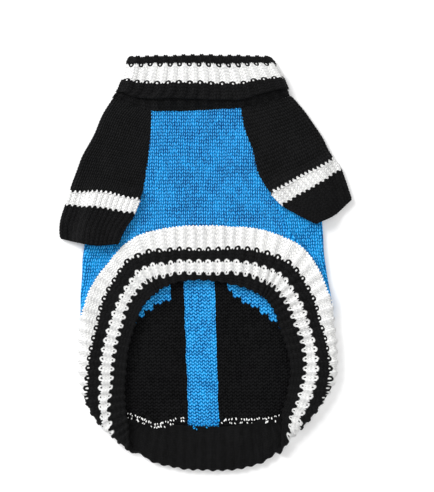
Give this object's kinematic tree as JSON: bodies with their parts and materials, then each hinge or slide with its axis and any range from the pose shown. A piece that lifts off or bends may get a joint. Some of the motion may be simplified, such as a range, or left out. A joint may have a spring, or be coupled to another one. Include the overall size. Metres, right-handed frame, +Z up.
{
  "type": "dog sweater",
  "caption": "Knitted dog sweater laid flat on its back: turned-down ribbed collar, short raglan sleeves with striped cuffs, and a broad striped rib band round the hem opening.",
  "frame": {"origin": "middle of the laid-out garment's outline, on the surface that it lies on", "axes": "+Z up from the surface, +Y towards the collar, +X towards the right sleeve as seen from above"},
  "size_m": [0.1986, 0.2822, 0.0127],
  "materials": {
    "back_knit": "black stockinette with a blue centre stripe and blue sides",
    "belly_knit": "bright blue stockinette",
    "sleeve_knit": "black stockinette",
    "cuff_rib": "black 1x1 rib with a white stripe",
    "collar_rib": "black 2x2 rib with a white stripe",
    "band_rib": "2x2 rib striped white, black, white and black"
  },
  "bodies": {
    "root": {"back_panel": "back_knit", "belly_panel": "belly_knit", "sleeve_left": "sleeve_knit", "sleeve_right": "sleeve_knit", "cuff_left": "cuff_rib", "cuff_right": "cuff_rib", "collar": "collar_rib", "hem_band": "band_rib"}
  },
  "joints": []
}
